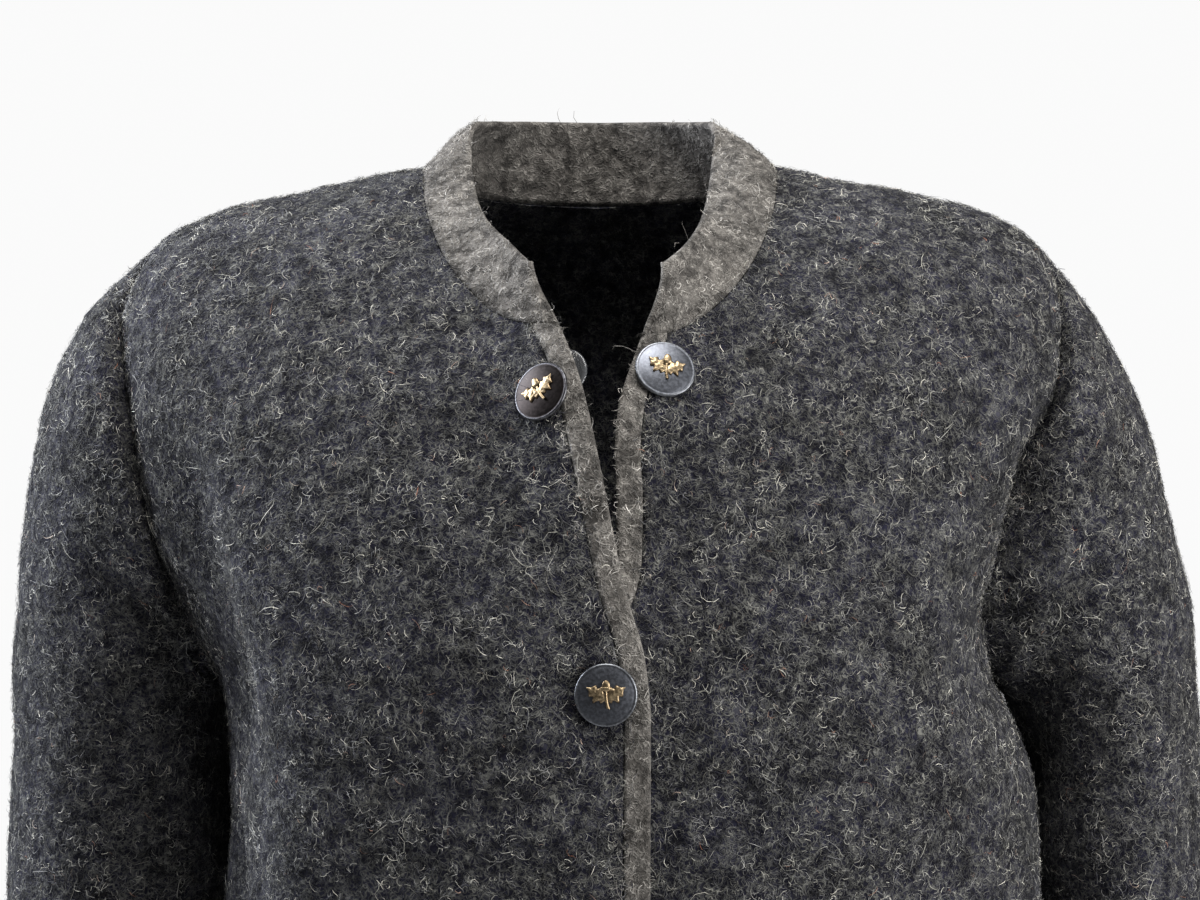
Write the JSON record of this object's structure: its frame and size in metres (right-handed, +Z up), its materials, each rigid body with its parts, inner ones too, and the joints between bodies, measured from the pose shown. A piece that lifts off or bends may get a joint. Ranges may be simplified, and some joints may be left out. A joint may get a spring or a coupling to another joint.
{
  "type": "wool coat",
  "caption": "Boiled-wool coat in worn form, open at the neck: two fronts, back, set-in sleeves, pale stand collar and edge bands, domed metal buttons.",
  "frame": {"origin": "midway between the two neck points, where the shoulder seams meet the collar and the wearer's shoulders carry the coat", "axes": "+Z up, -Y the way the coat faces, +X to the wearer's left"},
  "size_m": [0.5439, 0.2794, 0.8129],
  "materials": {
    "wool": "charcoal heathered boiled wool, curly nap, matt",
    "trim_wool": "taupe-grey heathered boiled wool, fine nap, matt",
    "gunmetal": "dark blue-grey plated metal, satin, brighter on the rolled rim",
    "brass": "antiqued cast brass, dark in the recesses",
    "clear_plastic": "milky clear plastic, smooth"
  },
  "bodies": {
    "root": {"back": "wool", "front_right": "wool", "front_left": "wool", "sleeve_right": "wool", "sleeve_left": "wool", "collar": "trim_wool", "band_right": "trim_wool", "band_left": "trim_wool", "button_top_right": "gunmetal", "badge_top_right": "brass", "button_top_left": "gunmetal", "badge_top_left": "brass", "button_2": "gunmetal", "badge_2": "brass", "button_3": "gunmetal", "badge_3": "brass", "button_4": "gunmetal", "badge_4": "brass", "button_5": "gunmetal", "badge_5": "brass", "counter_button": "clear_plastic"}
  },
  "joints": []
}
